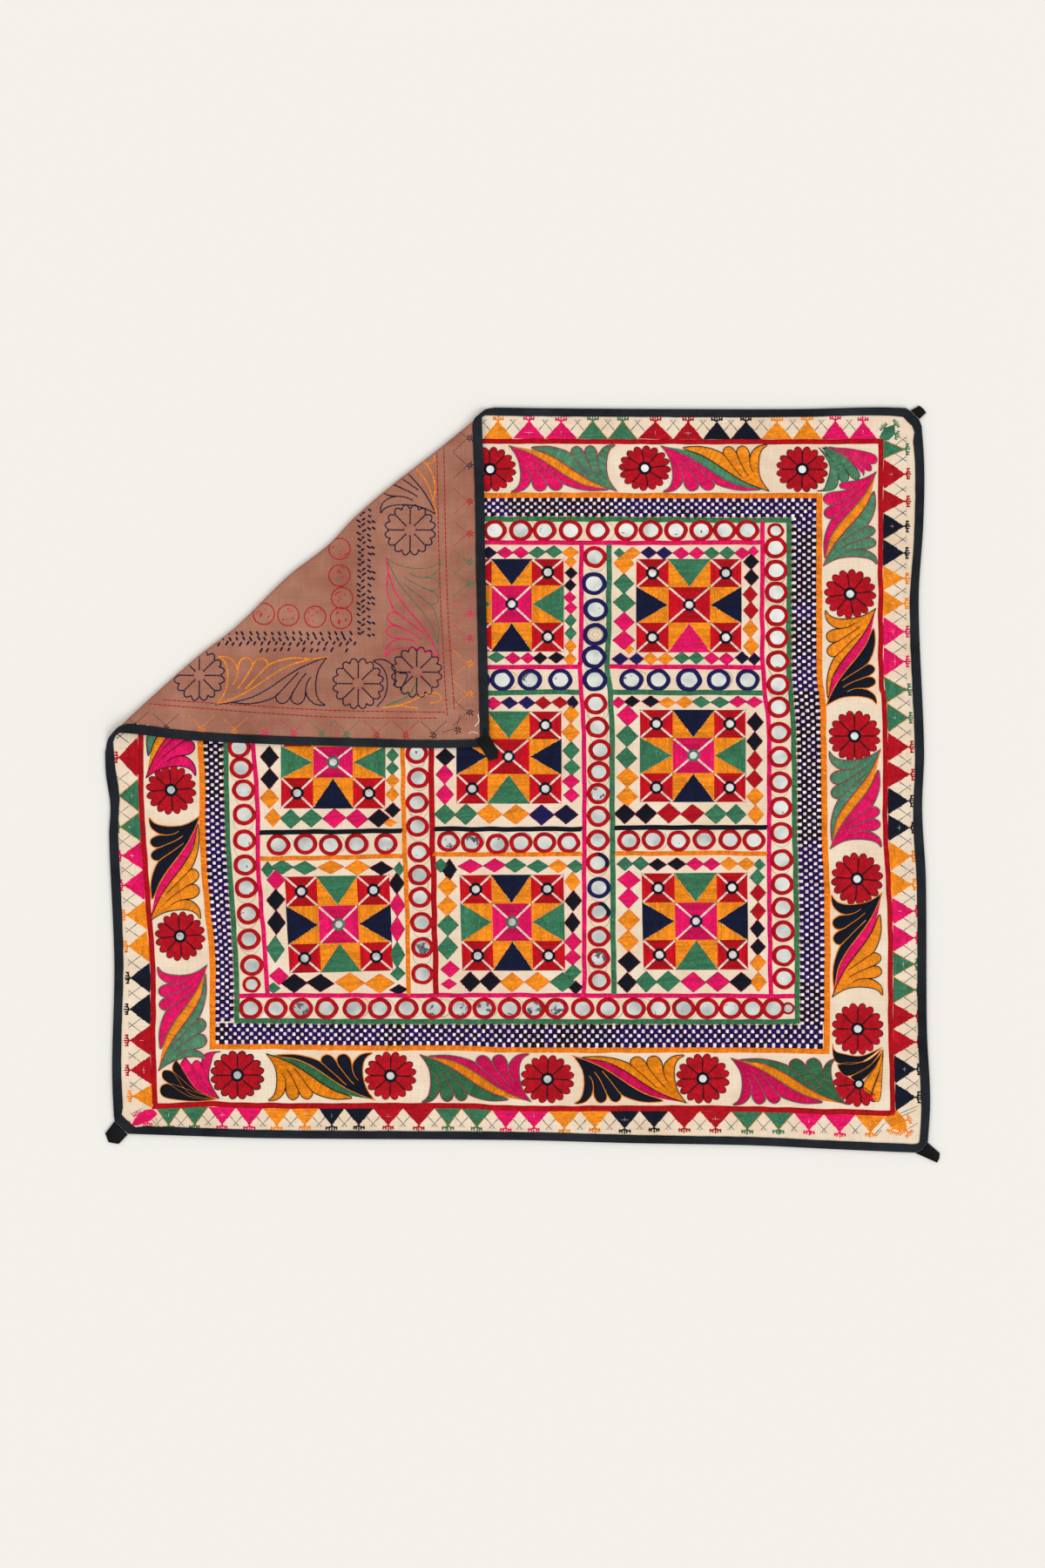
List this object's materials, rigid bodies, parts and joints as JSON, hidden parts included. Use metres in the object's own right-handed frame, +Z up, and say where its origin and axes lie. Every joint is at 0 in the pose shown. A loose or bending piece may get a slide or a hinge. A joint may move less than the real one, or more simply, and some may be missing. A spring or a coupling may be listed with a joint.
{
  "type": "mirror work tapestry",
  "caption": "Square cotton tapestry with satin stitch patterns and mirrors held by stitched rings, bound edges and corner tabs, lying flat with one corner folded over its face.",
  "frame": {"origin": "on the surface that the cloth lies on, under the middle of its bounding box", "axes": "+X to the right along the cloth's lower edge, +Y up the cloth towards the folded corner's side, +Z up from the face"},
  "size_m": [0.9589, 0.8692, 0.0141],
  "materials": {
    "face_cotton": "plain weave, matte",
    "backing_cotton": "plain weave, matte",
    "binding_cotton": "plain weave, matte",
    "tab_ribbon": "ribbed ribbon, matte",
    "mirror_glass": "polished, a little tarnished",
    "embroidery_floss": "satin stitched floss with a soft sheen"
  },
  "bodies": {
    "root": {"face_cloth": "face_cotton", "backing_cloth": "backing_cotton", "binding": "binding_cotton", "tab_top_right": "tab_ribbon", "tab_bottom_right": "tab_ribbon", "tab_bottom_left": "tab_ribbon", "tab_folded_corner": "tab_ribbon", "mirror_top_01": "mirror_glass", "mirror_top_02": "mirror_glass", "mirror_top_03": "mirror_glass", "mirror_top_04": "mirror_glass", "mirror_top_05": "mirror_glass", "mirror_top_06": "mirror_glass", "mirror_top_07": "mirror_glass", "mirror_top_08": "mirror_glass", "mirror_top_09": "mirror_glass", "mirror_top_10": "mirror_glass", "mirror_top_11": "mirror_glass", "mirror_right_01": "mirror_glass", "mirror_right_02": "mirror_glass", "mirror_right_03": "mirror_glass", "mirror_right_04": "mirror_glass", "mirror_right_05": "mirror_glass", "mirror_right_06": "mirror_glass", "mirror_right_07": "mirror_glass", "mirror_right_08": "mirror_glass", "mirror_right_09": "mirror_glass", "mirror_right_10": "mirror_glass", "mirror_right_11": "mirror_glass", "mirror_right_12": "mirror_glass", "mirror_right_13": "mirror_glass", "mirror_right_14": "mirror_glass", "mirror_right_15": "mirror_glass", "mirror_right_16": "mirror_glass", "mirror_right_17": "mirror_glass", "mirror_right_18": "mirror_glass", "mirror_right_19": "mirror_glass", "mirror_bottom_01": "mirror_glass", "mirror_bottom_02": "mirror_glass", "mirror_bottom_03": "mirror_glass", "mirror_bottom_04": "mirror_glass", "mirror_bottom_05": "mirror_glass", "mirror_bottom_06": "mirror_glass", "mirror_bottom_07": "mirror_glass", "mirror_bottom_08": "mirror_glass", "mirror_bottom_09": "mirror_glass", "mirror_bottom_10": "mirror_glass", "mirror_bottom_11": "mirror_glass", "mirror_bottom_12": "mirror_glass", "mirror_bottom_13": "mirror_glass", "mirror_bottom_14": "mirror_glass", "mirror_bottom_15": "mirror_glass", "mirror_bottom_16": "mirror_glass", "mirror_bottom_17": "mirror_glass", "mirror_bottom_18": "mirror_glass", "mirror_bottom_19": "mirror_glass", "mirror_bottom_20": "mirror_glass", "mirror_bottom_21": "mirror_glass", "mirror_bottom_22": "mirror_glass"}
  },
  "joints": []
}
